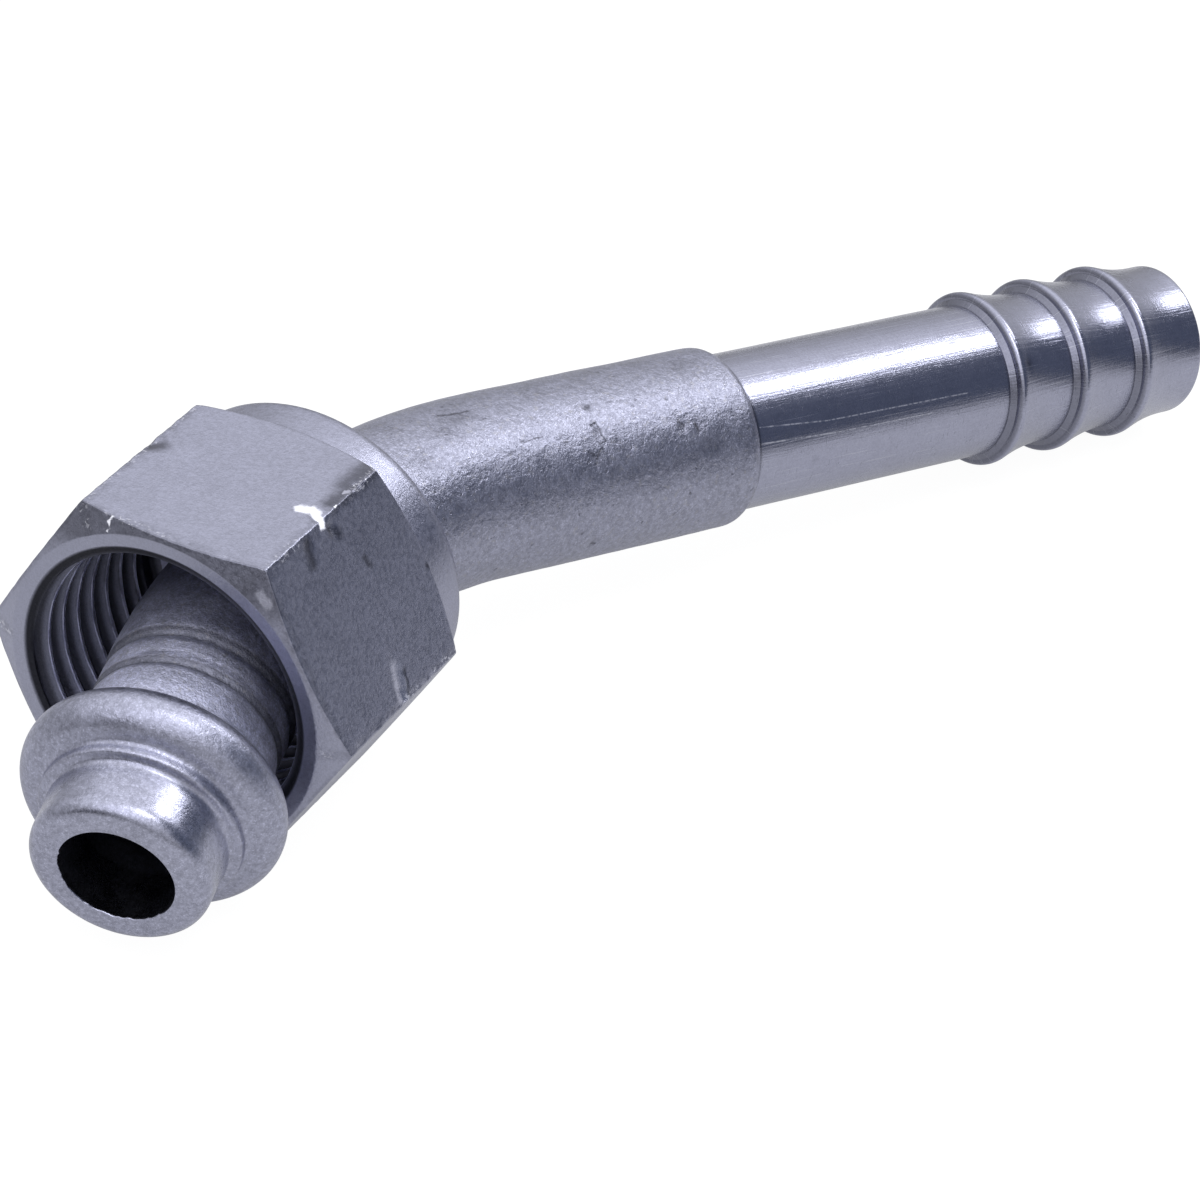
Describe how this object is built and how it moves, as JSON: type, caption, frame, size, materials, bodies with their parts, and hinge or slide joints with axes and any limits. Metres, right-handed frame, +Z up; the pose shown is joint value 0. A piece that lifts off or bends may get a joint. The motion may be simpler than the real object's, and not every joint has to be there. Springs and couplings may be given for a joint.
{
  "type": "air conditioning hose fitting",
  "caption": "Elbow hose fitting for a car air conditioning line: a barbed hose stem, a bent tube with a beaded pilot head, and a loose hexagon swivel nut.",
  "frame": {"origin": "middle of the nut's flat that the fitting rests on, on the ground", "axes": "+Z up; the nut's axis lies level along Y with its open face towards -Y; the hose stem leaves towards +Y and +X"},
  "size_m": [0.0502, 0.098, 0.0222],
  "materials": {
    "nut": "satin machined",
    "tube": "matt tumbled",
    "stem": "bright turned"
  },
  "bodies": {
    "tube": {"elbow_tube": "tube", "hose_stem": "stem"},
    "nut": {"swivel_nut": "nut"}
  },
  "joints": [
    {"name": "nut_spin", "type": "hinge", "parent": "tube", "child": "nut", "pos_m": [0, 0, 0.01111], "axis": [0, -1, 0], "continuous": true}
  ]
}
